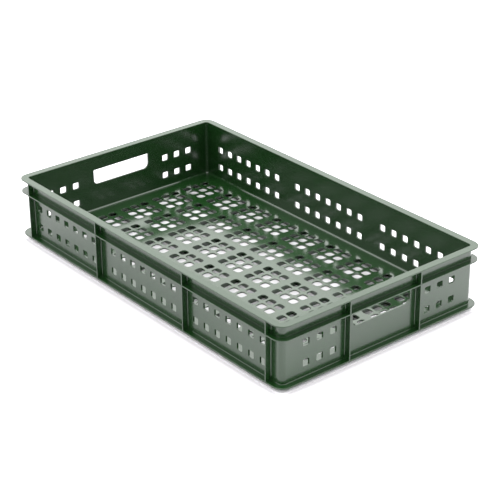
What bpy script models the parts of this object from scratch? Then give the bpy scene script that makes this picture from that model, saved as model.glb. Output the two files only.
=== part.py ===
"""Low stacking crate with a perforated floor and walls, one plastic moulding in named regions.

Metres, +Z up.  The origin is on the ground under the middle of the crate, X runs along the
length and Y across the width.  An inset is a distance inwards from the outer outline of the
rim, measured square to the side, so one list of (inset, height) points describes a section
of the rim, a flange or the foot all the way round.  Neighbouring regions keep a gap.
"""

import math

import bmesh
import bpy

# Outer size and plan corners
LENGTH = 0.762
WIDTH = 0.457
HEIGHT = 0.123
CORNER_RADIUS = 0.021
CORNER_STEPS = 6
GAP = 0.0003

# Wall and floor skins
WALL_OUTER_INSET = 0.0112
WALL_INNER_INSET = 0.0146
FLOOR_EDGE_TOP = 0.011
FLOOR_CROWN = 0.0064
FLOOR_THICKNESS = 0.0025

# Rim and flanges, from the top down
LIP_THICKNESS = 0.0045
LIP_CROWN = 0.0017
LIP_CROWN_WIDTH = 0.003
MID_FLANGE_TOP = 0.0978
MID_FLANGE_THICKNESS = 0.0022
BASE_FLANGE_BOTTOM = 0.008
BASE_FLANGE_THICKNESS = 0.003

# Stacking foot, which drops inside the rim of the crate below
FOOT_OUTER_INSET = 0.017
FOOT_INNER_INSET = 0.0195

# Upright ribs from the wall out to the edge of the flanges
RIB_THICKNESS = 0.0026
SIDE_RIB_X = (-0.3425, -0.126, 0.126, 0.3425)
END_RIB_Y = (-0.080, 0.080)

# Rows of openings in the walls
WALL_HOLE_WIDTH = 0.0136
WALL_HOLE_HEIGHT = 0.0128
WALL_HOLE_PITCH = 0.02915
WALL_HOLE_ROWS = (0.0357, 0.0735)
SIDE_GROUP_X = (-0.2355, 0.0, 0.2355)
SIDE_GROUP_COUNT = 7
END_GROUP_Y = (-0.13635, 0.13635)
END_GROUP_COUNT = 3

# Hand-hole in each end wall
HAND_HOLE_WIDTH = 0.13
HAND_HOLE_BOTTOM = 0.064
HAND_HOLE_RADIUS = 0.01
HAND_HOLE_STEPS = 4

# Floor openings: clusters of three by three, with a rib under every strip between them
CLUSTER_PITCH = 0.0758
CLUSTERS_X = 9
CLUSTERS_Y = 5
FLOOR_HOLE = 0.0165
FLOOR_HOLE_PITCH = 0.0219
FLOOR_HOLES_PER_CLUSTER = 3
FLOOR_RIB_THICKNESS = 0.0032
FLOOR_RIB_BOTTOM = 0.0008
FLOOR_RIB_ARCH = 0.5
HALF_LAP_SHARE = 0.02

# Plastic
PLASTIC_GREEN = (0.028, 0.085, 0.034, 1.0)
PLASTIC_ROUGHNESS = 0.28

HALF_LENGTH = LENGTH / 2
HALF_WIDTH = WIDTH / 2
CORNER_X = HALF_LENGTH - CORNER_RADIUS
CORNER_Y = HALF_WIDTH - CORNER_RADIUS
LIP_BOTTOM = HEIGHT - LIP_THICKNESS
WALL_TOP = LIP_BOTTOM - GAP
MID_FLANGE_BOTTOM = MID_FLANGE_TOP - MID_FLANGE_THICKNESS
HAND_HOLE_TOP = MID_FLANGE_BOTTOM - GAP
BASE_FLANGE_TOP = BASE_FLANGE_BOTTOM + BASE_FLANGE_THICKNESS
FLANGE_INNER_INSET = WALL_OUTER_INSET - GAP
FLOOR_INSET = WALL_INNER_INSET + GAP
UNDERFLOOR = FLOOR_THICKNESS + GAP


def clear_scene():
    """Start from an empty scene."""
    for obj in list(bpy.data.objects):
        bpy.data.objects.remove(obj, do_unlink=True)


def green_plastic(name):
    """Glossy dark green plastic for one region."""
    material = bpy.data.materials.new(name)
    material.use_nodes = True
    shader = material.node_tree.nodes["Principled BSDF"]
    shader.inputs["Base Color"].default_value = PLASTIC_GREEN
    shader.inputs["Roughness"].default_value = PLASTIC_ROUGHNESS
    shader.inputs["Metallic"].default_value = 0.0
    return material


def add_region(name, bm):
    """Turn a finished bmesh into a named object with its own material."""
    bmesh.ops.recalc_face_normals(bm, faces=bm.faces)
    mesh = bpy.data.meshes.new(name)
    bm.to_mesh(mesh)
    bm.free()
    mesh.materials.append(green_plastic(name + "_plastic"))
    obj = bpy.data.objects.new(name, mesh)
    bpy.context.scene.collection.objects.link(obj)
    return obj


def extrude_faces(bm, faces, offset):
    """Thicken a patch of faces by an offset vector, keeping the first faces as one cap."""
    grown = bmesh.ops.extrude_face_region(bm, geom=faces, use_keep_orig=True)
    verts = [item for item in grown["geom"] if isinstance(item, bmesh.types.BMVert)]
    bmesh.ops.translate(bm, verts=verts, vec=offset)


def outline(inset, height):
    """Corners of the crate's rounded plan, moved in by an inset, at one height."""
    radius = CORNER_RADIUS - inset
    points = []
    for turn, (sx, sy) in enumerate(((1, 1), (-1, 1), (-1, -1), (1, -1))):
        for step in range(CORNER_STEPS + 1):
            angle = math.radians(90 * (turn + step / CORNER_STEPS))
            x = sx * CORNER_X + radius * math.cos(angle)
            y = sy * CORNER_Y + radius * math.sin(angle)
            points.append((x, y, height))
    return points


def add_ring(name, section):
    """Sweep a closed (inset, height) section round the crate."""
    bm = bmesh.new()
    loops = [[bm.verts.new(p) for p in outline(inset, height)] for inset, height in section]
    for here, after in zip(loops, loops[1:] + loops[:1]):
        for i in range(len(here)):
            j = (i + 1) % len(here)
            bm.faces.new((here[i], here[j], after[j], after[i]))
    return add_region(name, bm)


def hole_edges(centres, size):
    """Both edges of each hole in a row, in order."""
    return [c + side * size / 2 for c in centres for side in (-1, 1)]


def spaced(centre, pitch, count):
    """Evenly spaced positions about a centre."""
    return [centre + pitch * (i - (count - 1) / 2) for i in range(count)]


def inside(value, centres, size):
    """Whether a value falls within a hole of a given size on any of the centres."""
    return any(abs(value - c) < size / 2 for c in centres)


def sheet(bm, us, vs, is_open, place):
    """Flat patch of quads on grid lines us by vs, without the open cells."""
    us, vs = sorted(us), sorted(vs)
    verts = {}

    def vert(i, j):
        if (i, j) not in verts:
            verts[i, j] = bm.verts.new(place(us[i], vs[j]))
        return verts[i, j]

    for i in range(len(us) - 1):
        for j in range(len(vs) - 1):
            middle_u = (us[i] + us[i + 1]) / 2
            middle_v = (vs[j] + vs[j + 1]) / 2
            if not is_open(middle_u, middle_v):
                bm.faces.new((vert(i, j), vert(i + 1, j), vert(i + 1, j + 1), vert(i, j + 1)))
    return verts


def crown_rise(x, y):
    """How far the crowned floor stands above its level edge."""
    across_x = 1 - (x / (HALF_LENGTH - WALL_INNER_INSET)) ** 2
    across_y = 1 - (y / (HALF_WIDTH - WALL_INNER_INSET)) ** 2
    return FLOOR_CROWN * across_x * across_y


def floor_hole_centres(clusters):
    """Centres of the floor holes along one direction."""
    centres = []
    for cluster in spaced(0.0, CLUSTER_PITCH, clusters):
        centres += spaced(cluster, FLOOR_HOLE_PITCH, FLOOR_HOLES_PER_CLUSTER)
    return centres


def add_floor():
    """Crowned perforated plate, its corners drawn in to follow the rounded inner corners."""
    xs, ys = floor_hole_centres(CLUSTERS_X), floor_hole_centres(CLUSTERS_Y)
    edge_x, edge_y = HALF_LENGTH - FLOOR_INSET, HALF_WIDTH - FLOOR_INSET
    bm = bmesh.new()
    sheet(
        bm,
        hole_edges(xs, FLOOR_HOLE) + [-edge_x, -CORNER_X, CORNER_X, edge_x],
        hole_edges(ys, FLOOR_HOLE) + [-edge_y, -CORNER_Y, CORNER_Y, edge_y],
        lambda x, y: inside(x, xs, FLOOR_HOLE) and inside(y, ys, FLOOR_HOLE),
        lambda x, y: (x, y, -FLOOR_THICKNESS),
    )
    reach = (CORNER_RADIUS - FLOOR_INSET) * math.cos(math.radians(45))
    for vert in bm.verts:
        if abs(vert.co.x) > CORNER_X + reach and abs(vert.co.y) > CORNER_Y + reach:
            vert.co.x = math.copysign(CORNER_X + reach, vert.co.x)
            vert.co.y = math.copysign(CORNER_Y + reach, vert.co.y)
    extrude_faces(bm, bm.faces[:], (0, 0, FLOOR_THICKNESS))
    for vert in bm.verts:
        vert.co.z += FLOOR_EDGE_TOP + crown_rise(vert.co.x, vert.co.y)
    add_region("floor_grille", bm)


def rib_point(x, y, share):
    """Point of a floor bar at a share of its depth, from the arched underside up to the floor."""
    rise = crown_rise(x, y)
    low = FLOOR_RIB_BOTTOM + FLOOR_RIB_ARCH * rise
    high = FLOOR_EDGE_TOP + rise - UNDERFLOOR
    return (x, y, low + share * (high - low))


def add_floor_rib(name, reach, crossings, notch, place, across):
    """Upright bar under the floor, notched where the bars of the other direction cross it."""
    notch_width = FLOOR_RIB_THICKNESS + 2 * GAP
    low, high = notch
    bm = bmesh.new()
    sheet(
        bm,
        hole_edges(crossings, notch_width) + [-reach, reach],
        {0.0, 1.0, low, high},
        lambda u, share: inside(u, crossings, notch_width) and low < share < high,
        place,
    )
    extrude_faces(bm, bm.faces[:], across)
    add_region(name, bm)


def add_floor_ribs():
    """Bars under the strips between the clusters, half-lapped, ending at the foot."""
    xs = spaced(0.0, CLUSTER_PITCH, CLUSTERS_X + 1)
    ys = spaced(0.0, CLUSTER_PITCH, CLUSTERS_Y + 1)
    reach_x = HALF_LENGTH - FOOT_INNER_INSET - GAP
    reach_y = HALF_WIDTH - FOOT_INNER_INSET - GAP
    half = FLOOR_RIB_THICKNESS / 2
    for number, y in enumerate(ys, start=1):
        add_floor_rib(
            f"floor_long_rib_{number}", reach_x, xs, (0.5 - HALF_LAP_SHARE, 1.0),
            lambda u, share, y=y: rib_point(u, y - half, share), (0, FLOOR_RIB_THICKNESS, 0),
        )
    for number, x in enumerate(xs, start=1):
        add_floor_rib(
            f"floor_cross_rib_{number}", reach_y, ys, (0.0, 0.5 + HALF_LAP_SHARE),
            lambda u, share, x=x: rib_point(x - half, u, share), (FLOOR_RIB_THICKNESS, 0, 0),
        )


def is_wall_hole(u, z, centres):
    """Whether a wall cell lies in one of the small openings."""
    return inside(u, centres, WALL_HOLE_WIDTH) and inside(z, WALL_HOLE_ROWS, WALL_HOLE_HEIGHT)


def add_side_wall(name, side):
    """Long wall with three groups of openings; side is -1 for the front, +1 for the back."""
    centres = []
    for group in SIDE_GROUP_X:
        centres += spaced(group, WALL_HOLE_PITCH, SIDE_GROUP_COUNT)
    end = CORNER_X - GAP
    y = side * (HALF_WIDTH - WALL_INNER_INSET)
    bm = bmesh.new()
    sheet(
        bm,
        hole_edges(centres, WALL_HOLE_WIDTH) + [-end, end],
        hole_edges(WALL_HOLE_ROWS, WALL_HOLE_HEIGHT) + [BASE_FLANGE_BOTTOM, WALL_TOP],
        lambda x, z: is_wall_hole(x, z, centres),
        lambda x, z: (x, y, z),
    )
    extrude_faces(bm, bm.faces[:], (0, side * (WALL_INNER_INSET - WALL_OUTER_INSET), 0))
    add_region(name, bm)


def round_hand_hole(bm, verts, ys, zs, place):
    """Fill the two lower corners of the hand-hole out to a quarter circle."""
    half = HAND_HOLE_WIDTH / 2
    centre_z = HAND_HOLE_BOTTOM + HAND_HOLE_RADIUS
    low, high = zs.index(HAND_HOLE_BOTTOM), zs.index(centre_z)
    for side in (-1, 1):
        centre_y = side * (half - HAND_HOLE_RADIUS)
        column = ys.index(side * half)
        upright = [verts[column, row] for row in range(low, high + 1)]
        arc = []
        for step in range(1, HAND_HOLE_STEPS):
            angle = math.radians(90 * step / HAND_HOLE_STEPS)
            y = centre_y + side * HAND_HOLE_RADIUS * math.cos(angle)
            z = centre_z - HAND_HOLE_RADIUS * math.sin(angle)
            arc.append(bm.verts.new(place(y, z)))
        arc.append(verts[ys.index(centre_y), low])
        for here, after in zip(upright, upright[1:]):
            bm.faces.new((here, after, arc[0]))
        for here, after in zip(arc, arc[1:]):
            bm.faces.new((upright[0], here, after))


def add_end_wall(name, side):
    """Short wall with a hand-hole between two groups of openings; side is -1 or +1 along X."""
    centres = []
    for group in END_GROUP_Y:
        centres += spaced(group, WALL_HOLE_PITCH, END_GROUP_COUNT)
    half = HAND_HOLE_WIDTH / 2
    end = CORNER_Y - GAP
    centre_z = HAND_HOLE_BOTTOM + HAND_HOLE_RADIUS
    x = side * (HALF_LENGTH - WALL_INNER_INSET)
    ys = hole_edges(centres, WALL_HOLE_WIDTH) + [-end, end, -half, half]
    ys += [-(half - HAND_HOLE_RADIUS), half - HAND_HOLE_RADIUS]
    zs = hole_edges(WALL_HOLE_ROWS, WALL_HOLE_HEIGHT) + [BASE_FLANGE_BOTTOM, WALL_TOP]
    zs += [HAND_HOLE_BOTTOM, centre_z, HAND_HOLE_TOP]

    def is_open(y, z):
        in_hand_hole = abs(y) < half and HAND_HOLE_BOTTOM < z < HAND_HOLE_TOP
        return in_hand_hole or is_wall_hole(y, z, centres)

    def place(y, z):
        return (x, y, z)

    bm = bmesh.new()
    verts = sheet(bm, ys, zs, is_open, place)
    round_hand_hole(bm, verts, sorted(ys), sorted(zs), place)
    extrude_faces(bm, bm.faces[:], (side * (WALL_INNER_INSET - WALL_OUTER_INSET), 0, 0))
    add_region(name, bm)


def add_corner_post(name, sx, sy):
    """Quarter-round length of wall that joins a long wall to an end wall."""
    bm = bmesh.new()
    outer_radius = CORNER_RADIUS - WALL_OUTER_INSET
    inner_radius = CORNER_RADIUS - WALL_INNER_INSET
    pairs = []
    for step in range(CORNER_STEPS + 1):
        angle = math.radians(90 * step / CORNER_STEPS)
        ray = (sx * math.cos(angle), sy * math.sin(angle))
        pairs.append([
            bm.verts.new((sx * CORNER_X + r * ray[0], sy * CORNER_Y + r * ray[1], BASE_FLANGE_BOTTOM))
            for r in (inner_radius, outer_radius)
        ])
    for (in_a, out_a), (in_b, out_b) in zip(pairs, pairs[1:]):
        bm.faces.new((in_a, out_a, out_b, in_b))
    extrude_faces(bm, bm.faces[:], (0, 0, WALL_TOP - BASE_FLANGE_BOTTOM))
    add_region(name, bm)


def add_rib(name, along, place, bottom, top):
    """Upright rib across the bay, at a distance along its wall."""
    bm = bmesh.new()
    half = RIB_THICKNESS / 2
    corners = ((-half, 0.0), (half, 0.0), (half, FLANGE_INNER_INSET), (-half, FLANGE_INNER_INSET))
    bm.faces.new([bm.verts.new(place(along + step, inset) + (bottom,)) for step, inset in corners])
    extrude_faces(bm, bm.faces[:], (0, 0, top - bottom))
    add_region(name, bm)


def add_wall_ribs(wall, positions, place):
    """Number the ribs of one wall; each is split in two by the middle flange."""
    for number, along in enumerate(positions, start=1):
        lower = f"{wall}_lower_rib_{number}"
        add_rib(lower, along, place, BASE_FLANGE_TOP + GAP, MID_FLANGE_BOTTOM - GAP)
        upper = f"{wall}_upper_rib_{number}"
        add_rib(upper, along, place, MID_FLANGE_TOP + GAP, WALL_TOP)


def add_rings():
    """Rim, both flanges and the stacking foot."""
    add_ring("top_rim", [
        (WALL_INNER_INSET, LIP_BOTTOM),
        (WALL_INNER_INSET, HEIGHT),
        (LIP_CROWN_WIDTH, HEIGHT),
        (0.0, HEIGHT - LIP_CROWN),
        (0.0, LIP_BOTTOM),
    ])
    add_ring("mid_flange", [
        (FLANGE_INNER_INSET, MID_FLANGE_BOTTOM),
        (FLANGE_INNER_INSET, MID_FLANGE_TOP),
        (0.0, MID_FLANGE_TOP),
        (0.0, MID_FLANGE_BOTTOM),
    ])
    add_ring("base_flange", [
        (FLANGE_INNER_INSET, BASE_FLANGE_BOTTOM),
        (FLANGE_INNER_INSET, BASE_FLANGE_TOP),
        (0.0, BASE_FLANGE_TOP),
        (0.0, BASE_FLANGE_BOTTOM),
    ])
    add_ring("stacking_foot", [
        (FOOT_OUTER_INSET, 0.0),
        (FOOT_INNER_INSET, 0.0),
        (FOOT_INNER_INSET, FLOOR_EDGE_TOP - UNDERFLOOR),
        (FOOT_OUTER_INSET, FLOOR_EDGE_TOP - UNDERFLOOR),
    ])


def build_crate():
    """All regions of the crate."""
    clear_scene()
    add_rings()
    add_floor()
    add_floor_ribs()
    add_side_wall("front_wall", -1)
    add_side_wall("back_wall", 1)
    add_end_wall("left_end_wall", -1)
    add_end_wall("right_end_wall", 1)
    for y_name, sy in (("front", -1), ("back", 1)):
        for x_name, sx in (("left", -1), ("right", 1)):
            add_corner_post(f"corner_post_{y_name}_{x_name}", sx, sy)
    for wall, side in (("front", -1), ("back", 1)):
        add_wall_ribs(wall, SIDE_RIB_X, lambda x, inset, s=side: (x, s * (HALF_WIDTH - inset)))
    for wall, side in (("left_end", -1), ("right_end", 1)):
        add_wall_ribs(wall, END_RIB_Y, lambda y, inset, s=side: (s * (HALF_LENGTH - inset), y))


build_crate()
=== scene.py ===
"""Looks of the stacking crate: one glossy dark green moulding, built in named pieces.

An inset is a distance inwards from the outer outline of the rim.  A section is a closed list
of (inset, height) corners, each with the radius of the arc that rounds it, and it is swept
round the crate.  All lengths are metres.
"""

import math

import bmesh
import bpy
from mathutils import Matrix, Vector


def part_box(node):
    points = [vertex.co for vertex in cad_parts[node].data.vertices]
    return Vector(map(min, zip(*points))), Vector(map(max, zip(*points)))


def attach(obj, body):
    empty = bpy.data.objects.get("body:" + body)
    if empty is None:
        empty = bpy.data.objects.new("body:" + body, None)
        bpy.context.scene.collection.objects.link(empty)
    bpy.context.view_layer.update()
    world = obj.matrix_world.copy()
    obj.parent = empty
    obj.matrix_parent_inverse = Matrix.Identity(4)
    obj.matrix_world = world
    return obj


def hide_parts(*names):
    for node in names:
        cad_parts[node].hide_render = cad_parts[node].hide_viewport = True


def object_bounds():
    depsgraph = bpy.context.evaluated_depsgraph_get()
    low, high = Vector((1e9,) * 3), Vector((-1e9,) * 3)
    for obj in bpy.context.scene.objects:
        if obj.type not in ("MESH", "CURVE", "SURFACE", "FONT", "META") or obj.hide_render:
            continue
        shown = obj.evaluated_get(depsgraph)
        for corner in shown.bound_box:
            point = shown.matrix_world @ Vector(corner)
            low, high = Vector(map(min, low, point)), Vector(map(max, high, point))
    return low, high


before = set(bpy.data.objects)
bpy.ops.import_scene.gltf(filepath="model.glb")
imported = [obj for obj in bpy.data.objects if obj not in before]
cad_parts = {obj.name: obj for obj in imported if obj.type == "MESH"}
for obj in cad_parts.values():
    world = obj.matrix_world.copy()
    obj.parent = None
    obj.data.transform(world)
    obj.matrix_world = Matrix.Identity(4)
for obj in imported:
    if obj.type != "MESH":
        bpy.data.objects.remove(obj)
CAD_LOW, CAD_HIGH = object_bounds()

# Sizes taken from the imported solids
HALF_LENGTH = CAD_HIGH.x
HALF_WIDTH = CAD_HIGH.y
TOP = CAD_HIGH.z
WALL_OUTER = HALF_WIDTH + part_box("front_wall")[0].y
WALL_INNER = HALF_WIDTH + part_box("front_wall")[1].y
LIP_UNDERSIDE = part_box("top_rim")[0].z
MID_LOW, MID_HIGH = (corner.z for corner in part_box("mid_flange"))
BASE_LOW, BASE_HIGH = (corner.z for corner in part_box("base_flange"))
FLOOR_THICKNESS = 0.0025
FLOOR_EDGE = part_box("floor_grille")[0].z + FLOOR_THICKNESS
FLOOR_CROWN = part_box("floor_grille")[1].z - FLOOR_EDGE
FOOT_OUTER = HALF_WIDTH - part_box("stacking_foot")[1].y
FOOT_INNER = 0.0195

# Rounding of edges and inner corners
CORNER_RADIUS = 0.021
CORNER_STEPS = 20
CORNER_X = HALF_LENGTH - CORNER_RADIUS
CORNER_Y = HALF_WIDTH - CORNER_RADIUS
ROOT_FILLET = 0.0012
COVE_RADIUS = 0.0042
GROOVE_FILLET = 0.0004
RIM_MOUTH_ROUND = 0.0011
RIM_EDGE_ROUND = 0.0007
LIP_ROUND = 0.0004
MID_FLANGE_ROUND = 0.0006
BASE_FLANGE_ROUND = 0.0008
FOOT_ROOT_ROUND = 0.0010
FOOT_ROUND = 0.0007

# Rim lip: thin outer edge, and an underside that tapers in to the full thickness
LIP_EDGE = 0.0019
LIP_TAPER = 0.0046

# Overlaps that keep neighbouring pieces of the one moulding joined
RING_TUCK = 0.002
FLAT_END = 0.002
FLOOR_TUCK = 0.0005
WALL_TUCK = 0.0002
FOOT_TUCK = 0.0001
LAP = 0.001
SLIVER = 1e-5

# Upright ribs
RIB_EDGE_ROUND = 0.0004
RIB_WALL_TUCK = 0.0004
RIB_LIP_GAP = 0.0003

# Openings
WALL_HOLE = (0.0136, 0.0128)
WALL_HOLE_RADIUS = 0.0020
WALL_HOLE_PITCH = 0.02915
WALL_HOLE_ROWS = (0.0357, 0.0735)
SIDE_GROUPS = (-0.2355, 0.0, 0.2355)
END_GROUPS = (-0.13635, 0.13635)
HAND_HOLE = (0.130, 0.064, MID_LOW - ROOT_FILLET)
HAND_HOLE_RADIUS = 0.010
HAND_HOLE_TOP_RADIUS = 0.0012
HOLE_EDGE = 0.00015
CLUSTERS = (9, 5)
CLUSTER_PITCH = 0.0758
LINES_PER_CLUSTER = 4
FLOOR_CELL = 0.0219
FLOOR_HOLE = 0.0165
FLOOR_HOLE_RADIUS = 0.0052
FLOOR_HOLE_EDGE = 0.0003

PLASTIC_COLOUR = (0.0046, 0.0212, 0.0044, 1.0)
PLASTIC_IOR = 1.5
BUMP_HEIGHT = 0.0004

# Moulded skin: sizes of its colour clouds, gloss mottle, ripple and grain, per metre, and the
# stretch that turns noise into fine rub marks
CLOUD_SCALE, MOTTLE_SCALE, RIPPLE_SCALE, GRAIN_SCALE = 14.0, 55.0, 70.0, 900.0
RUB_STRETCH, RUB_TURN, RUB_SCALE = (18.0, 240.0, 260.0), (0.2, 0.3, 0.5), 6.0
MOTTLE_WEAR = 0.35
GRAIN_SHARE = 0.12

# Tent: brightness low down and overhead, share kept on the side the camera stands, and the
# even white that shows behind the crate
TENT_LOW, TENT_OVERHEAD = 3.0, 6.5
TENT_RISE = (0.35, 1.0)
TENT_FRONT_SHARE, TENT_FRONT_SPAN = 0.34, (0.0, 0.9)
TENT_SHOWN = 1.05
FRONT_X, FRONT_Y = 0.77, 0.64

# Paper: tone that lights and is mirrored in the plastic, with painted light rising from left front to
# right back, and the tones that show under the crate, in painted light below the flange edge, in a
# painted shadow beside it and beyond
PAPER_PAINTED_LIGHT = (0.73, 0.98)
PAPER_PAINTED_LIGHT_SPAN = (-0.25, 0.30)
PAPER_UNDER, PAPER_EDGE_PAINTED_LIGHT, PAPER_PAINTED_SHADOW, PAPER_BEYOND = 0.57, 0.95, 0.42, 0.55
PAPER_EDGE_PAINTED_LIGHT_SPAN, PAPER_PAINTED_SHADOW_SPAN, PAPER_BEYOND_SPAN = (-0.022, -0.012), (-0.005, 0.0), (0.003, 0.010)
PAPER_TINT = (("Red", 0.985), ("Green", 0.96), ("Blue", 1.0))
PAPER_HALF_SIZE = 12.0
PAPER_ROUGHNESS = 0.9

# Camera: angles in degrees, lengths in metres, lens and sensor in millimetres
CAMERA_AZIMUTH, CAMERA_ELEVATION, CAMERA_ROLL = 50.508, 26.585, -0.27
CAMERA_TARGET = (0.1373, -0.0892, 0.123)
CAMERA_DISTANCE = 2.759
CAMERA_LENS, CAMERA_SENSOR = 116.6, 36.0


# ---------------------------------------------------------------- materials

def node_group(name, inputs, outputs):
    """Empty shader group with named sockets."""
    group = bpy.data.node_groups.new(name, "ShaderNodeTree")
    for label, kind, value in inputs:
        socket = group.interface.new_socket(name=label, in_out="INPUT", socket_type=kind)
        socket.default_value = value
    for label, kind in outputs:
        group.interface.new_socket(name=label, in_out="OUTPUT", socket_type=kind)
    return group, group.nodes.new("NodeGroupInput"), group.nodes.new("NodeGroupOutput")


def add_noise(tree, vector, scale, detail=2.0, roughness=0.5):
    """Noise texture value from 0 to 1."""
    noise = tree.nodes.new("ShaderNodeTexNoise")
    noise.inputs["Scale"].default_value = scale
    noise.inputs["Detail"].default_value = detail
    noise.inputs["Roughness"].default_value = roughness
    tree.links.new(vector, noise.inputs["Vector"])
    return noise.outputs["Fac"]


def add_range(tree, value, low, high, to_low, to_high):
    """Value carried from one range to another and held at its ends; ends may be sockets."""
    node = tree.nodes.new("ShaderNodeMapRange")
    for label, number in (("From Min", low), ("From Max", high)):
        node.inputs[label].default_value = number
    for label, target in (("To Min", to_low), ("To Max", to_high)):
        if isinstance(target, float):
            node.inputs[label].default_value = target
        else:
            tree.links.new(target, node.inputs[label])
    tree.links.new(value, node.inputs["Value"])
    return node.outputs["Result"]


def add_math(tree, operation, first, second):
    """One arithmetic step on two numbers or sockets."""
    node = tree.nodes.new("ShaderNodeMath")
    node.operation = operation
    for socket, value in zip(node.inputs, (first, second)):
        if isinstance(value, float):
            socket.default_value = value
        else:
            tree.links.new(value, socket)
    return node.outputs["Value"]


def moulded_skin_group():
    """Colour drift, flow-mottled gloss, fine rub marks and a faint ripple of a moulded skin."""
    group, start, end = node_group(
        "moulded_skin",
        [
            ("Colour", "NodeSocketColor", PLASTIC_COLOUR),
            ("Drift", "NodeSocketFloat", 0.12),
            ("Gloss Roughness", "NodeSocketFloat", 0.2),
            ("Rubbed Roughness", "NodeSocketFloat", 0.34),
            ("Ripple", "NodeSocketFloat", 0.15),
        ],
        [
            ("Colour", "NodeSocketColor"),
            ("Roughness", "NodeSocketFloat"),
            ("Normal", "NodeSocketVector"),
        ],
    )
    nodes, links = group.nodes, group.links
    place = nodes.new("ShaderNodeTexCoord").outputs["Object"]
    cloud = add_noise(group, place, CLOUD_SCALE, 3.0)
    flow = add_noise(group, place, MOTTLE_SCALE, 4.0, 0.6)
    grain = add_noise(group, place, GRAIN_SCALE, 2.0)

    stretch = nodes.new("ShaderNodeMapping")
    stretch.inputs["Scale"].default_value = RUB_STRETCH
    stretch.inputs["Rotation"].default_value = RUB_TURN
    links.new(place, stretch.inputs["Vector"])
    scratch = add_noise(group, stretch.outputs["Vector"], RUB_SCALE, 3.0, 0.65)
    rub = add_range(group, scratch, 0.60, 0.74, 0.0, 1.0)
    patch = add_range(group, flow, 0.35, 0.70, 0.0, 1.0)
    marks = add_math(group, "MULTIPLY", rub, patch)
    mottle = add_math(group, "MULTIPLY", patch, MOTTLE_WEAR)
    worn = add_math(group, "MAXIMUM", marks, mottle)
    roughness = add_range(group, worn, 0.0, 1.0, start.outputs["Gloss Roughness"],
                          start.outputs["Rubbed Roughness"])
    links.new(roughness, end.inputs["Roughness"])

    swing = add_range(group, cloud, 0.3, 0.7, -0.5, 0.5)
    gain = add_math(group, "ADD", add_math(group, "MULTIPLY", swing, start.outputs["Drift"]), 1.0)
    tint = nodes.new("ShaderNodeMix")
    tint.data_type = "RGBA"
    tint.blend_type = "MULTIPLY"
    tint.inputs["Factor"].default_value = 1.0
    combine = nodes.new("ShaderNodeCombineColor")
    for label in ("Red", "Green", "Blue"):
        links.new(gain, combine.inputs[label])
    links.new(start.outputs["Colour"], tint.inputs["A"])
    links.new(combine.outputs["Color"], tint.inputs["B"])
    links.new(tint.outputs["Result"], end.inputs["Colour"])

    ripple = add_noise(group, place, RIPPLE_SCALE, 1.0)
    height = add_math(group, "ADD", ripple, add_math(group, "MULTIPLY", grain, GRAIN_SHARE))
    bump = nodes.new("ShaderNodeBump")
    bump.inputs["Distance"].default_value = BUMP_HEIGHT
    links.new(start.outputs["Ripple"], bump.inputs["Strength"])
    links.new(height, bump.inputs["Height"])
    links.new(bump.outputs["Normal"], end.inputs["Normal"])
    return group


def crate_plastic(name, skin, gloss, rubbed, ripple, shine=0.5):
    """Dark green plastic with a chosen gloss and strength of shine."""
    material = bpy.data.materials.new(name)
    material.use_nodes = True
    tree = material.node_tree
    shader = tree.nodes["Principled BSDF"]
    shader.inputs["IOR"].default_value = PLASTIC_IOR
    group = tree.nodes.new("ShaderNodeGroup")
    group.node_tree = skin
    group.inputs["Colour"].default_value = PLASTIC_COLOUR
    group.inputs["Gloss Roughness"].default_value = gloss
    group.inputs["Rubbed Roughness"].default_value = rubbed
    group.inputs["Ripple"].default_value = ripple
    shader.inputs["Specular IOR Level"].default_value = shine
    tree.links.new(group.outputs["Colour"], shader.inputs["Base Color"])
    tree.links.new(group.outputs["Roughness"], shader.inputs["Roughness"])
    tree.links.new(group.outputs["Normal"], shader.inputs["Normal"])
    return material


SKIN = moulded_skin_group()
WALL_PLASTIC = crate_plastic("wall_plastic", SKIN, 0.20, 0.32, 0.10)
FLOOR_PLASTIC = crate_plastic("floor_plastic", SKIN, 0.13, 0.24, 0.10)
EDGE_PLASTIC = crate_plastic("edge_plastic", SKIN, 0.21, 0.34, 0.10, 0.40)


# ---------------------------------------------------------------- mesh helpers

def finish_piece(name, bm, material, nodes, sharp_degrees=38):
    """Close a bmesh into a smooth-shaded piece that rides the crate and stands for CAD nodes."""
    bmesh.ops.recalc_face_normals(bm, faces=bm.faces)
    mesh = bpy.data.meshes.new(name)
    bm.to_mesh(mesh)
    bm.free()
    mesh.polygons.foreach_set("use_smooth", [True] * len(mesh.polygons))
    mesh.set_sharp_from_angle(angle=math.radians(sharp_degrees))
    mesh.materials.append(material)
    piece = bpy.data.objects.new(name, mesh)
    bpy.context.scene.collection.objects.link(piece)
    shading = piece.modifiers.new("even_shading", "WEIGHTED_NORMAL")
    shading.keep_sharp = True
    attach(piece, "root")
    if nodes:
        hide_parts(*nodes)


def arc_between(start, end, centre, steps):
    """Points of a circular arc from start to end about a centre."""
    first, last = start - centre, end - centre
    sweep = first.angle(last)
    points = []
    for step in range(steps + 1):
        part = step / steps
        turned = first * math.sin((1 - part) * sweep) + last * math.sin(part * sweep)
        points.append(centre + turned / math.sin(sweep))
    return points


def soften(corners, steps=5):
    """Closed outline with each (u, v, radius) corner turned into an arc."""
    points = []
    for i, (u, v, radius) in enumerate(corners):
        here = Vector((u, v))
        if not radius:
            points.append(here)
            continue
        back = (Vector(corners[i - 1][:2]) - here).normalized()
        ahead = (Vector(corners[(i + 1) % len(corners)][:2]) - here).normalized()
        half = back.angle(ahead) / 2
        centre = here + (back + ahead).normalized() * (radius / math.sin(half))
        run = radius / math.tan(half)
        points += arc_between(here + back * run, here + ahead * run, centre, steps)
    return points


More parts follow.
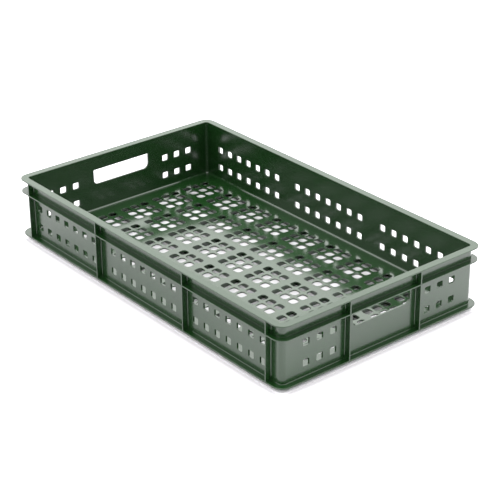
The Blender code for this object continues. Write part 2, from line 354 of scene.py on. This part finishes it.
def outline(inset, height):
    """Points of the rounded plan, moved in by an inset."""
    radius = CORNER_RADIUS - inset
    points = []
    for turn, (sx, sy) in enumerate(((1, 1), (-1, 1), (-1, -1), (1, -1))):
        for step in range(CORNER_STEPS + 1):
            angle = math.radians(90 * (turn + step / CORNER_STEPS))
            x = sx * CORNER_X + radius * math.cos(angle)
            y = sy * CORNER_Y + radius * math.sin(angle)
            points.append((x, y, height))
    return points


def add_ring(name, section, material, nodes):
    """Sweep a section round the crate."""
    bm = bmesh.new()
    loops = [[bm.verts.new(p) for p in outline(inset, height)] for inset, height in section]
    for here, after in zip(loops, loops[1:] + loops[:1]):
        for i in range(len(here)):
            j = (i + 1) % len(here)
            bm.faces.new((here[i], here[j], after[j], after[i]))
    finish_piece(name, bm, material, nodes)


def rounded_hole(u, v, width, height, radius, grow, steps):
    """Outline of a rounded rectangular opening, grown outwards by an edge width."""
    a, b = width / 2 + grow, height / 2 + grow
    r = radius + grow
    return soften([(u + a, v - b, r), (u + a, v + b, r), (u - a, v + b, r), (u - a, v - b, r)], steps)


def add_perforated_sheet(name, border, holes, place, depth, material, nodes):
    """Flat plate with eased holes; place maps (u, v, depth) to a point."""
    bm = bmesh.new()
    rims = {}

    def loop(points, level):
        return [bm.verts.new(place(p[0], p[1], level)) for p in points]

    def edges_of(verts):
        found = []
        for i, vert in enumerate(verts):
            after = verts[(i + 1) % len(verts)]
            found.append(bm.edges.get((vert, after)) or bm.edges.new((vert, after)))
        return found

    def bridge(first, second):
        for i in range(len(first)):
            j = (i + 1) % len(first)
            bm.faces.new((first[i], first[j], second[j], second[i]))

    for side, level in (("outer", 0.0), ("inner", depth)):
        rims[side] = [loop(border, level)] + [loop(hole(HOLE_EDGE), level) for hole in holes]
    bridge(rims["outer"][0], rims["inner"][0])
    for index, hole in enumerate(holes, start=1):
        near = loop(hole(0.0), HOLE_EDGE)
        far = loop(hole(0.0), depth - HOLE_EDGE)
        bridge(rims["outer"][index], near)
        bridge(near, far)
        bridge(far, rims["inner"][index])
    normal = Vector(place(0, 0, 1)) - Vector(place(0, 0, 0))
    for side in ("outer", "inner"):
        edges = [edge for verts in rims[side] for edge in edges_of(verts)]
        bmesh.ops.triangle_fill(bm, use_beauty=True, edges=edges, normal=normal)
    finish_piece(name, bm, material, nodes, 50)


def spaced(centre, pitch, count):
    """Evenly spaced positions about a centre."""
    return [centre + pitch * (i - (count - 1) / 2) for i in range(count)]


# ---------------------------------------------------------------- rings

def add_rings():
    """Rim, flanges and foot, and the cove between floor and walls."""
    wall_line = WALL_OUTER + LAP
    add_ring("rim_lip", soften([
        (WALL_INNER, LIP_UNDERSIDE - RING_TUCK, 0),
        (WALL_INNER, TOP, RIM_MOUTH_ROUND),
        (0.0, TOP, RIM_EDGE_ROUND),
        (0.0, TOP - LIP_EDGE, LIP_ROUND),
        (LIP_TAPER, LIP_UNDERSIDE, LIP_ROUND),
        (WALL_OUTER, LIP_UNDERSIDE, ROOT_FILLET),
        (WALL_OUTER, LIP_UNDERSIDE - RING_TUCK, 0),
    ]), EDGE_PLASTIC, ["top_rim"])
    add_ring("middle_flange", soften([
        (wall_line, MID_HIGH + GROOVE_FILLET, 0),
        (WALL_OUTER, MID_HIGH + GROOVE_FILLET + SLIVER, 0),
        (WALL_OUTER, MID_HIGH, GROOVE_FILLET),
        (0.0, MID_HIGH, MID_FLANGE_ROUND),
        (0.0, MID_LOW, MID_FLANGE_ROUND),
        (WALL_OUTER, MID_LOW, ROOT_FILLET),
        (WALL_OUTER, MID_LOW - ROOT_FILLET - SLIVER, 0),
        (wall_line, MID_LOW - ROOT_FILLET, 0),
    ]), EDGE_PLASTIC, ["mid_flange"])
    add_ring("bottom_flange", soften([
        (wall_line, BASE_HIGH + ROOT_FILLET, 0),
        (WALL_OUTER, BASE_HIGH + ROOT_FILLET + SLIVER, 0),
        (WALL_OUTER, BASE_HIGH, ROOT_FILLET),
        (0.0, BASE_HIGH, BASE_FLANGE_ROUND),
        (0.0, BASE_LOW, BASE_FLANGE_ROUND),
        (wall_line, BASE_LOW, 0),
    ]), EDGE_PLASTIC, ["base_flange"])
    add_ring("foot_ring", soften([
        (WALL_INNER - LAP, BASE_LOW + FOOT_TUCK, 0),
        (FOOT_OUTER, BASE_LOW + FOOT_TUCK, FOOT_ROOT_ROUND),
        (FOOT_OUTER, 0.0, FOOT_ROUND),
        (FOOT_INNER, 0.0, FOOT_ROUND),
        (FOOT_INNER, FLOOR_EDGE - LAP, 0),
        (WALL_INNER - LAP, FLOOR_EDGE - LAP, 0),
    ]), EDGE_PLASTIC, ["stacking_foot"])
    add_ring("floor_cove", soften([
        (WALL_INNER - LAP, FLOOR_EDGE - LAP, 0),
        (WALL_INNER - LAP, FLOOR_EDGE + COVE_RADIUS, 0),
        (WALL_INNER - SLIVER, FLOOR_EDGE + COVE_RADIUS, 0),
        (WALL_INNER, FLOOR_EDGE, COVE_RADIUS),
        (WALL_INNER + COVE_RADIUS, FLOOR_EDGE - SLIVER, 0),
        (WALL_INNER + COVE_RADIUS, FLOOR_EDGE - LAP, 0),
    ], 6), FLOOR_PLASTIC, [])


# ---------------------------------------------------------------- walls

def small_holes(groups, count):
    """Outlines of the small openings, in two rows, for each group along a wall."""
    width, height = WALL_HOLE
    holes = []
    for group in groups:
        for u in spaced(group, WALL_HOLE_PITCH, count):
            for v in WALL_HOLE_ROWS:
                holes.append(lambda grow, u=u, v=v: rounded_hole(
                    u, v, width, height, WALL_HOLE_RADIUS, grow, 4))
    return holes


def hand_hole(grow):
    """Outline of the hand-hole: round below, nearly square under the middle flange."""
    width, low, high = HAND_HOLE
    half = width / 2 + grow
    return soften([
        (half, low - grow, HAND_HOLE_RADIUS + grow),
        (half, high + grow, HAND_HOLE_TOP_RADIUS),
        (-half, high + grow, HAND_HOLE_TOP_RADIUS),
        (-half, low - grow, HAND_HOLE_RADIUS + grow),
    ], 8)


def add_walls():
    """Four perforated flats and four rounded corners."""
    bottom, top = BASE_LOW + WALL_TUCK, LIP_UNDERSIDE - RING_TUCK
    depth = WALL_INNER - WALL_OUTER
    end = CORNER_X - FLAT_END
    border = [Vector(p) for p in ((-end, bottom), (end, bottom), (end, top), (-end, top))]
    for name, side in (("front", -1), ("back", 1)):
        add_perforated_sheet(
            name + "_wall_panel", border, small_holes(SIDE_GROUPS, 7),
            lambda u, v, d, s=side: (u, s * (HALF_WIDTH - WALL_OUTER - d), v),
            depth, WALL_PLASTIC, [name + "_wall"],
        )
    end = CORNER_Y - FLAT_END
    border = [Vector(p) for p in ((-end, bottom), (end, bottom), (end, top), (-end, top))]
    for name, side in (("left", -1), ("right", 1)):
        add_perforated_sheet(
            name + "_end_panel", border, small_holes(END_GROUPS, 3) + [hand_hole],
            lambda u, v, d, s=side: (s * (HALF_LENGTH - WALL_OUTER - d), u, v),
            depth, WALL_PLASTIC, [name + "_end_wall"],
        )
    for y_name, sy in (("front", -1), ("back", 1)):
        for x_name, sx in (("left", -1), ("right", 1)):
            add_corner(f"{y_name}_{x_name}_corner", sx, sy, bottom, top,
                       f"corner_post_{y_name}_{x_name}")


def add_corner(name, sx, sy, bottom, top, node):
    """Quarter-round wall with a short flat at each end."""
    bm = bmesh.new()
    columns = []
    for inset in (WALL_OUTER, WALL_INNER):
        radius = CORNER_RADIUS - inset
        plan = [Vector((CORNER_X + radius, CORNER_Y - FLAT_END))]
        for step in range(CORNER_STEPS + 1):
            angle = math.radians(90 * step / CORNER_STEPS)
            plan.append(Vector((CORNER_X + radius * math.cos(angle),
                                CORNER_Y + radius * math.sin(angle))))
        plan.append(Vector((CORNER_X - FLAT_END, CORNER_Y + radius)))
        columns.append([[bm.verts.new((sx * p.x, sy * p.y, z)) for p in plan] for z in (bottom, top)])
    (outer_low, outer_high), (inner_low, inner_high) = columns
    around = [outer_low, outer_high, inner_high, inner_low]
    for first, second in zip(around, around[1:] + around[:1]):
        for i in range(len(first) - 1):
            bm.faces.new((first[i], first[i + 1], second[i + 1], second[i]))
    for i in (0, -1):
        bm.faces.new([line[i] for line in around])
    finish_piece(name, bm, WALL_PLASTIC, [node])


# ---------------------------------------------------------------- upright ribs

def fillet_rise(distance, radius):
    """How far a concave fillet stands out at a distance from the surface it meets."""
    if distance >= radius:
        return 0.0
    return radius - math.sqrt(radius ** 2 - (radius - distance) ** 2)


def add_rib(name, along, thickness, place, bottom, top):
    """Thin upright plate, flared where it meets the wall and the flanges, eased outside."""
    half = thickness / 2
    ease, fillet = RIB_EDGE_ROUND, ROOT_FILLET
    insets = [0.0, ease * 0.3, ease] + [0.003, 0.006]
    insets += [WALL_OUTER - fillet * part for part in (1.0, 0.75, 0.5, 0.28, 0.12, 0.03)]
    insets += [WALL_OUTER + RIB_WALL_TUCK]
    near = [fillet * part for part in (0.0, 0.05, 0.15, 0.3, 0.55, 1.0)]
    heights = [bottom + d for d in near] + [(bottom + top) / 2] + [top - d for d in reversed(near)]
    bm = bmesh.new()
    sheets = []
    for side in (-1, 1):
        rows = []
        for z in heights:
            row = []
            for inset in insets:
                flare = max(
                    fillet_rise(max(WALL_OUTER - inset, 0.0), fillet),
                    fillet_rise(z - bottom, fillet), fillet_rise(top - z, fillet),
                )
                trim = ease - math.sqrt(max(ease ** 2 - max(ease - inset, 0.0) ** 2, 0.0))
                x, y = place(along + side * (half + flare - trim), inset)
                row.append(bm.verts.new((x, y, z)))
            rows.append(row)
        sheets.append(rows)
    left, right = sheets
    for rows in sheets:
        for low, high in zip(rows, rows[1:]):
            for i in range(len(low) - 1):
                bm.faces.new((low[i], low[i + 1], high[i + 1], high[i]))
    for i in (0, -1):
        for k in range(len(heights) - 1):
            bm.faces.new((left[k][i], right[k][i], right[k + 1][i], left[k + 1][i]))
    for k in (0, -1):
        for i in range(len(insets) - 1):
            bm.faces.new((left[k][i], left[k][i + 1], right[k][i + 1], right[k][i]))
    finish_piece(name + "_web", bm, WALL_PLASTIC, [name], 60)


def add_ribs():
    """Ribs of all four walls, each in two lengths, where the solids have them."""
    lip = TOP - LIP_EDGE - RIB_LIP_GAP
    for wall, side in (("front", -1), ("back", 1)):
        for number in range(1, 5):
            low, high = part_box(f"{wall}_lower_rib_{number}")
            place = lambda u, inset, s=side: (u, s * (HALF_WIDTH - inset))
            middle, thickness = (low.x + high.x) / 2, high.x - low.x
            add_rib(f"{wall}_lower_rib_{number}", middle, thickness, place, BASE_HIGH, MID_LOW)
            add_rib(f"{wall}_upper_rib_{number}", middle, thickness, place, MID_HIGH, lip)
    for wall, side in (("left_end", -1), ("right_end", 1)):
        for number in range(1, 3):
            low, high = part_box(f"{wall}_lower_rib_{number}")
            place = lambda u, inset, s=side: (s * (HALF_LENGTH - inset), u)
            middle, thickness = (low.y + high.y) / 2, high.y - low.y
            add_rib(f"{wall}_lower_rib_{number}", middle, thickness, place, BASE_HIGH, MID_LOW)
            add_rib(f"{wall}_upper_rib_{number}", middle, thickness, place, MID_HIGH, lip)


# ---------------------------------------------------------------- floor

def floor_height(x, y):
    """Top of the crowned floor: level round its edge and highest in the middle."""
    across_x = 1 - (x / (HALF_LENGTH - WALL_INNER)) ** 2
    across_y = 1 - (y / (HALF_WIDTH - WALL_INNER)) ** 2
    return FLOOR_EDGE + FLOOR_CROWN * max(across_x, 0.0) * max(across_y, 0.0)


def cell_lines(clusters, edge):
    """Grid lines of the floor: hole cells within clusters, strips between, and both edges."""
    lines = [-edge, edge]
    for cluster in spaced(0.0, CLUSTER_PITCH, clusters):
        lines += spaced(cluster, FLOOR_CELL, LINES_PER_CLUSTER)
    return sorted(lines)


def add_floor():
    """Perforated plate: each hole cell is a ring of faces round an eased rounded opening."""
    edge_x, edge_y = (half - WALL_INNER + FLOOR_TUCK for half in (HALF_LENGTH, HALF_WIDTH))
    xs, ys = cell_lines(CLUSTERS[0], edge_x), cell_lines(CLUSTERS[1], edge_y)
    bm = bmesh.new()
    grid = {}

    def corner(i, j, z):
        if (i, j, z) not in grid:
            x, y = xs[i], ys[j]
            reach = (CORNER_RADIUS - WALL_INNER) * math.cos(math.radians(45))
            if abs(x) == edge_x and abs(y) == edge_y:
                x = math.copysign(CORNER_X + reach, x)
                y = math.copysign(CORNER_Y + reach, y)
            grid[i, j, z] = bm.verts.new((x, y, z))
        return grid[i, j, z]

    def is_hole(i, j):
        return all(
            0 < k < len(lines) - 2 and k % LINES_PER_CLUSTER != 0
            for k, lines in ((i, xs), (j, ys))
        )

    def hole_loop(x, y, grow, z):
        points = rounded_hole(x, y, FLOOR_HOLE, FLOOR_HOLE, FLOOR_HOLE_RADIUS, grow, 5)
        return [bm.verts.new((p.x, p.y, z)) for p in points]

    for i in range(len(xs) - 1):
        for j in range(len(ys) - 1):
            cells = {}
            for z in (0.0, -FLOOR_THICKNESS):
                cells[z] = [corner(i + 1, j, z), corner(i + 1, j + 1, z),
                            corner(i, j + 1, z), corner(i, j, z)]
                if not is_hole(i, j):
                    bm.faces.new(cells[z])
            if not is_hole(i, j):
                continue
            x, y = (xs[i] + xs[i + 1]) / 2, (ys[j] + ys[j + 1]) / 2
            ease = FLOOR_HOLE_EDGE
            loops = [hole_loop(x, y, ease, 0.0), hole_loop(x, y, ease * 0.3, -ease * 0.3),
                     hole_loop(x, y, 0.0, -ease),
                     hole_loop(x, y, 0.0, ease - FLOOR_THICKNESS),
                     hole_loop(x, y, ease, -FLOOR_THICKNESS)]
            count = len(loops[0])
            for first, second in zip(loops, loops[1:]):
                for k in range(count):
                    n = (k + 1) % count
                    bm.faces.new((first[k], first[n], second[n], second[k]))
            quarter = count // 4
            for z, loop in ((0.0, loops[0]), (-FLOOR_THICKNESS, loops[-1])):
                for q in range(4):
                    anchor = cells[z][q]
                    arc = [loop[(q * quarter + k) % count] for k in range(quarter)]
                    for a, b in zip(arc, arc[1:]):
                        bm.faces.new((anchor, a, b))
                    nxt = loop[((q + 1) * quarter) % count]
                    bm.faces.new((anchor, arc[-1], nxt, cells[z][(q + 1) % 4]))
    low = [e for e in bm.edges if e.is_boundary]
    bmesh.ops.bridge_loops(bm, edges=low)
    for vert in bm.verts:
        vert.co.z += floor_height(vert.co.x, vert.co.y)
    finish_piece("floor_plate", bm, FLOOR_PLASTIC, ["floor_grille"], 60)


def dress_floor_bars():
    """Wall plastic for the bars under the floor, which keep the shape of their solids."""
    for name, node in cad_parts.items():
        if name.startswith("floor_long_rib") or name.startswith("floor_cross_rib"):
            node.data.materials.clear()
            node.data.materials.append(WALL_PLASTIC)


# ---------------------------------------------------------------- stage

def add_tent():
    """White tent all round: brightest overhead, dimmer in front, and even where it is seen."""
    scene = bpy.context.scene
    scene.world = bpy.data.worlds.new("white_tent")
    scene.world.use_nodes = True
    tree = scene.world.node_tree
    background = tree.nodes["Background"]
    background.inputs["Color"].default_value = (1.0, 1.0, 1.0, 1.0)
    seen = tree.nodes.new("ShaderNodeLightPath").outputs["Is Camera Ray"]
    axes = tree.nodes.new("ShaderNodeSeparateXYZ")
    way = tree.nodes.new("ShaderNodeTexCoord").outputs["Generated"]
    tree.links.new(way, axes.inputs["Vector"])
    overhead = add_range(tree, axes.outputs["Z"], *TENT_RISE, TENT_LOW, TENT_OVERHEAD)
    forward = add_math(tree, "SUBTRACT",
                       add_math(tree, "MULTIPLY", axes.outputs["X"], FRONT_X),
                       add_math(tree, "MULTIPLY", axes.outputs["Y"], FRONT_Y))
    front = add_range(tree, forward, *TENT_FRONT_SPAN, 1.0, TENT_FRONT_SHARE)
    light = add_math(tree, "MULTIPLY", overhead, front)
    tree.links.new(add_range(tree, seen, 0.0, 1.0, light, TENT_SHOWN), background.inputs["Strength"])
    scene.view_settings.view_transform = "Standard"


def beyond_side(tree, along, half):
    """Distance of a point of the paper outside one pair of sides of the crate."""
    return add_math(tree, "SUBTRACT", add_math(tree, "ABSOLUTE", along, 0.0), half)


def white_paper():
    """Matt paper, with one tone for the light it gives, brightened by painted light towards the right
    back, and another for how it is seen, with painted light below the flange edge and a painted shadow
    beside the crate.
    """
    paper = bpy.data.materials.new("white_paper")
    paper.use_nodes = True
    tree = paper.node_tree
    shader = tree.nodes["Principled BSDF"]
    shader.inputs["Roughness"].default_value = PAPER_ROUGHNESS
    axes = tree.nodes.new("ShaderNodeSeparateXYZ")
    place = tree.nodes.new("ShaderNodeTexCoord").outputs["Object"]
    tree.links.new(place, axes.inputs["Vector"])
    across = add_math(tree, "ADD", axes.outputs["X"], axes.outputs["Y"])
    # painted light: the paper is paler towards the right back, which brightens what it lights and what
    # the plastic mirrors
    light = add_range(tree, across, *PAPER_PAINTED_LIGHT_SPAN, *PAPER_PAINTED_LIGHT)
    beside = add_math(tree, "MAXIMUM", beyond_side(tree, axes.outputs["X"], HALF_LENGTH),
                      beyond_side(tree, axes.outputs["Y"], HALF_WIDTH))
    # painted light: the tone the camera sees rises just below the flange edge, lightening the shade
    # there
    under_and_edge_painted_light = add_range(tree, beside, *PAPER_EDGE_PAINTED_LIGHT_SPAN, PAPER_UNDER, PAPER_EDGE_PAINTED_LIGHT)
    # painted shadow: the tone the camera sees dips in a band beside the crate
    near = add_range(tree, beside, *PAPER_PAINTED_SHADOW_SPAN, under_and_edge_painted_light, PAPER_PAINTED_SHADOW)
    shown = add_range(tree, beside, *PAPER_BEYOND_SPAN, near, PAPER_BEYOND)
    seen = tree.nodes.new("ShaderNodeLightPath").outputs["Is Camera Ray"]
    tone = add_range(tree, seen, 0.0, 1.0, light, shown)
    colour = tree.nodes.new("ShaderNodeCombineColor")
    for label, share in PAPER_TINT:
        tree.links.new(add_math(tree, "MULTIPLY", tone, share), colour.inputs[label])
    tree.links.new(colour.outputs["Color"], shader.inputs["Base Color"])
    return paper


def add_paper_floor():
    """Level sheet of paper that the crate stands on."""
    bm = bmesh.new()
    bmesh.ops.create_grid(bm, x_segments=2, y_segments=2, size=PAPER_HALF_SIZE)
    mesh = bpy.data.meshes.new("studio_floor")
    bm.to_mesh(mesh)
    bm.free()
    mesh.materials.append(white_paper())
    floor = bpy.data.objects.new("studio_floor", mesh)
    bpy.context.scene.collection.objects.link(floor)


def add_camera():
    """Camera above the front right corner."""
    azimuth, elevation, roll = (
        math.radians(angle) for angle in (CAMERA_AZIMUTH, CAMERA_ELEVATION, CAMERA_ROLL))
    back = Vector((math.sin(azimuth) * math.cos(elevation),
                   -math.cos(azimuth) * math.cos(elevation), math.sin(elevation)))
    right = Vector((math.cos(azimuth), math.sin(azimuth), 0.0))
    up = back.cross(right)
    turned_right = right * math.cos(roll) + up * math.sin(roll)
    turned_up = up * math.cos(roll) - right * math.sin(roll)
    camera = bpy.data.objects.new("camera", bpy.data.cameras.new("camera"))
    bpy.context.scene.collection.objects.link(camera)
    turn = Matrix((turned_right, turned_up, back)).transposed()
    place = Vector(CAMERA_TARGET) + back * CAMERA_DISTANCE
    camera.matrix_world = Matrix.Translation(place) @ turn.to_4x4()
    camera.data.sensor_width = CAMERA_SENSOR
    camera.data.lens = CAMERA_LENS
    bpy.context.scene.camera = camera


add_rings()
add_walls()
add_ribs()
add_floor()
dress_floor_bars()
add_tent()
add_paper_floor()
add_camera()
